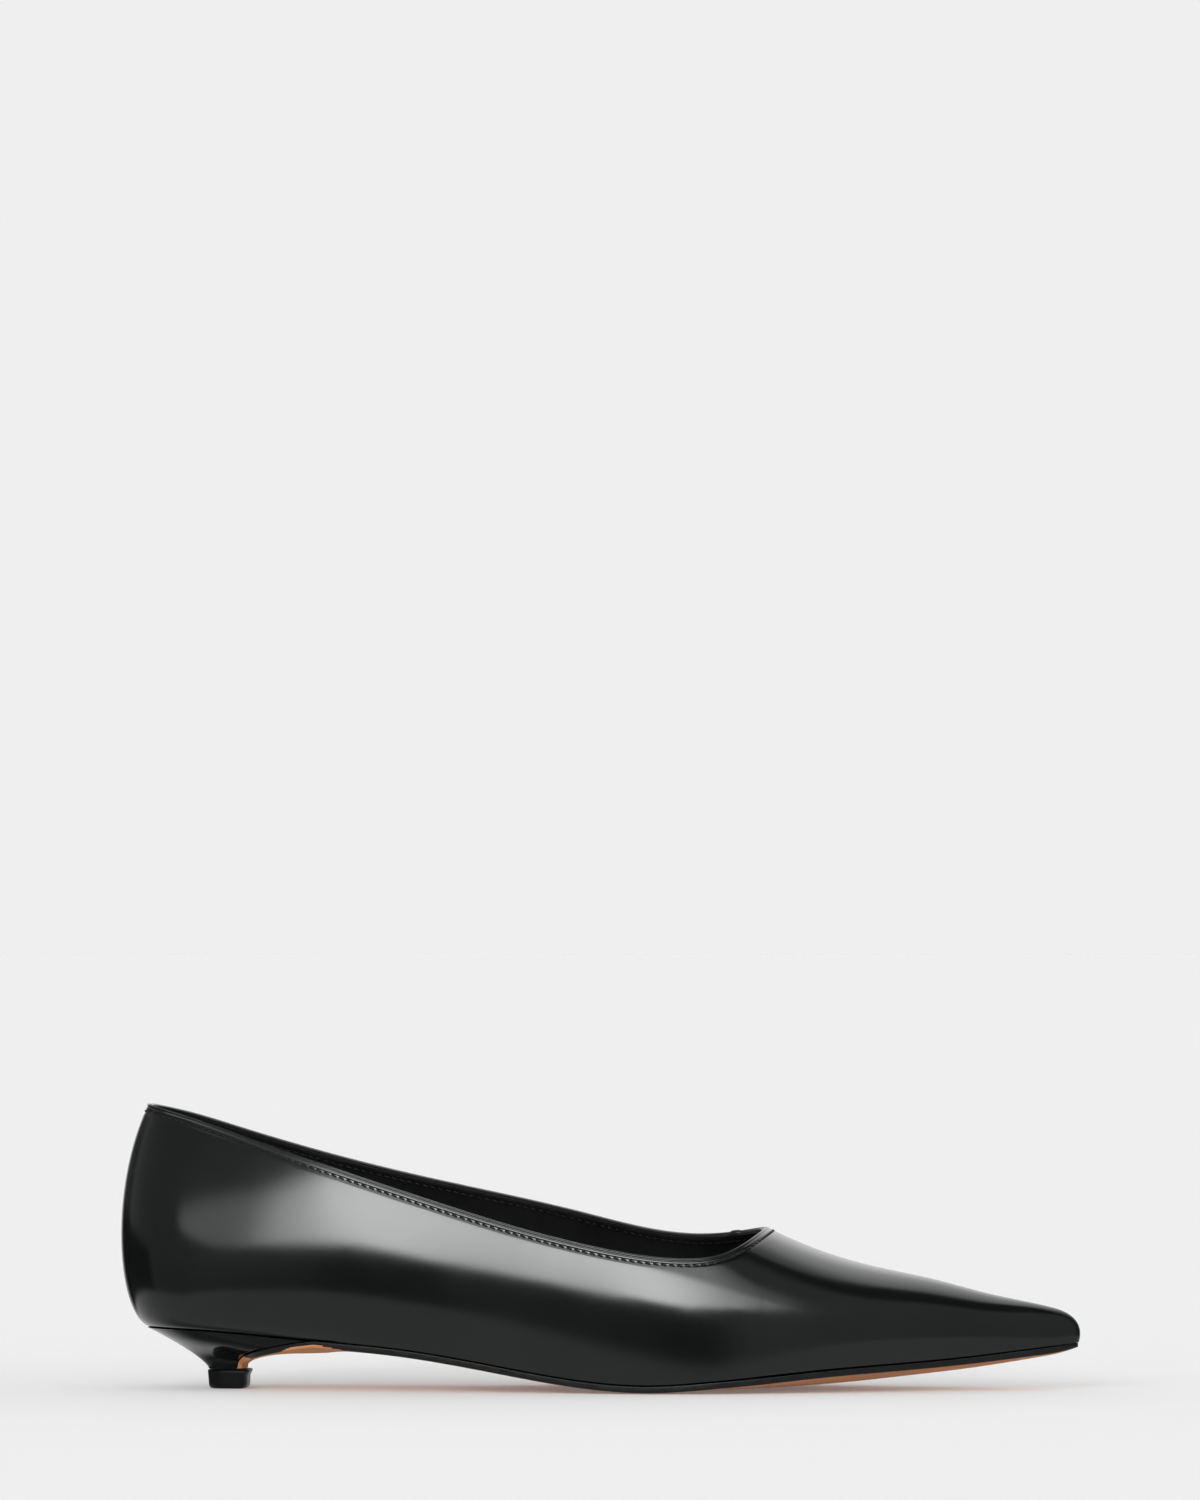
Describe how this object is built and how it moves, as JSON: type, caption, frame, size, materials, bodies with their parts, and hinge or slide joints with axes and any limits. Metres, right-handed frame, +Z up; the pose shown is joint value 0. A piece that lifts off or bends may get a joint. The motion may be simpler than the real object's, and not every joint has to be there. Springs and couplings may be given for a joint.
{
  "type": "pointed-toe kitten-heel pump",
  "caption": "Slip-on pointed-toe leather pump, hollow inside and open at the collar, with a thin leather sole and a low flared heel.",
  "frame": {"origin": "on the floor, under the middle of the whole shoe's box", "axes": "+X towards the toe, +Y towards the inner side of the foot, +Z up"},
  "size_m": [0.2656, 0.0716, 0.0786],
  "materials": {
    "upper_leather": "polished smooth black leather",
    "sole_leather": "natural tan sole leather, satin, edges painted black",
    "lining_leather": "matte black lining leather",
    "heel_cover": "polished smooth black leather over a moulded block",
    "top_piece": "matte black"
  },
  "bodies": {
    "root": {"upper": "upper_leather", "outsole": "sole_leather", "insole": "lining_leather", "heel": "heel_cover", "heel_top_piece": "top_piece"}
  },
  "joints": []
}
